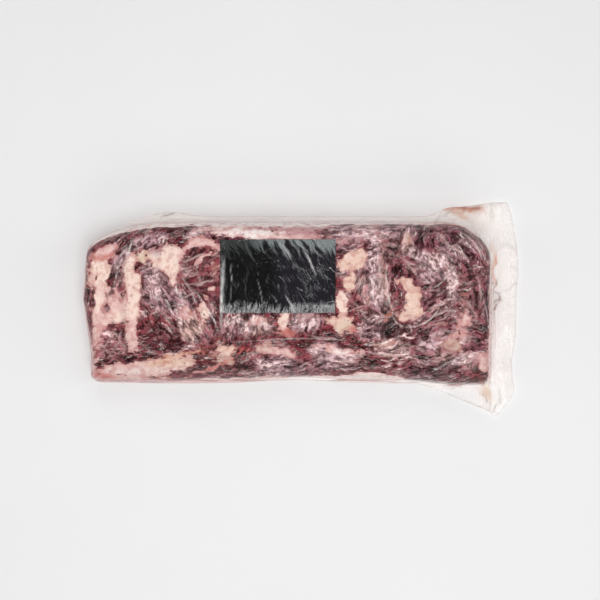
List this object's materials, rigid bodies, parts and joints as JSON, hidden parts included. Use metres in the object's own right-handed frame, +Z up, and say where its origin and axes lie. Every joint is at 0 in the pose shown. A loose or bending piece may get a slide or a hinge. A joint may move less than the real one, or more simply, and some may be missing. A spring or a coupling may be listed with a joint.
{
  "type": "vacuum-packed raw beef strip loin",
  "caption": "Whole boneless raw strip of beef loin, vacuum-packed in clear film with a narrow hem, a sealed tail and a bare dark label, lying on its fat cap.",
  "frame": {"origin": "centre of the pack's outline seen from above, on the surface it rests on", "axes": "+X along the loin towards the bag's sealed tail, +Y across it towards the thick backbone edge, +Z up from the fat cap to the boned side"},
  "size_m": [0.5356, 0.263, 0.0813],
  "materials": {
    "raw_meat": "moist raw beef and fat pressed flat against clear film",
    "clear_film": "clear, glossy, tight vacuum film with fine wrinkles",
    "label_paper": "dark printed paper under wrinkled film, left bare"
  },
  "bodies": {
    "root": {"vacuum_bag": "raw_meat", "label": "label_paper"}
  },
  "joints": []
}
